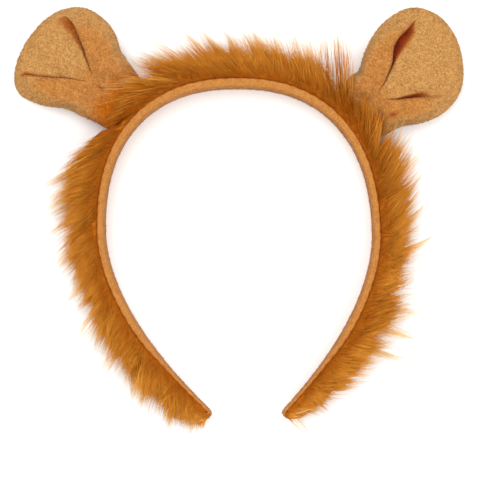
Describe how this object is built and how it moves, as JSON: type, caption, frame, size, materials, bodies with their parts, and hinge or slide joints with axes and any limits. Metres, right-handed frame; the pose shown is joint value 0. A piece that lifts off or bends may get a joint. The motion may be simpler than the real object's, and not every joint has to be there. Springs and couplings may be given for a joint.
{
  "type": "lion ears headband",
  "caption": "Open padded velour hoop worn over the head, with a long-pile fur trim along its outer face and stuffed, folded animal ears.",
  "frame": {"origin": "middle of the footprint, on the surface that the headband lies on", "axes": "the hoop lies flat in XY on its back edge: +X to the right ear as the front is seen, +Y to the crown and ears, +Z out of the front"},
  "size_m": [0.202, 0.1864, 0.022],
  "materials": {
    "velour": "short-pile tan velour, soft and matt",
    "fur": "long-pile orange-brown faux fur with paler tips"
  },
  "bodies": {
    "root": {"velour_band": "velour", "fur_trim": "fur", "left_ear": "velour", "right_ear": "velour"}
  },
  "joints": []
}
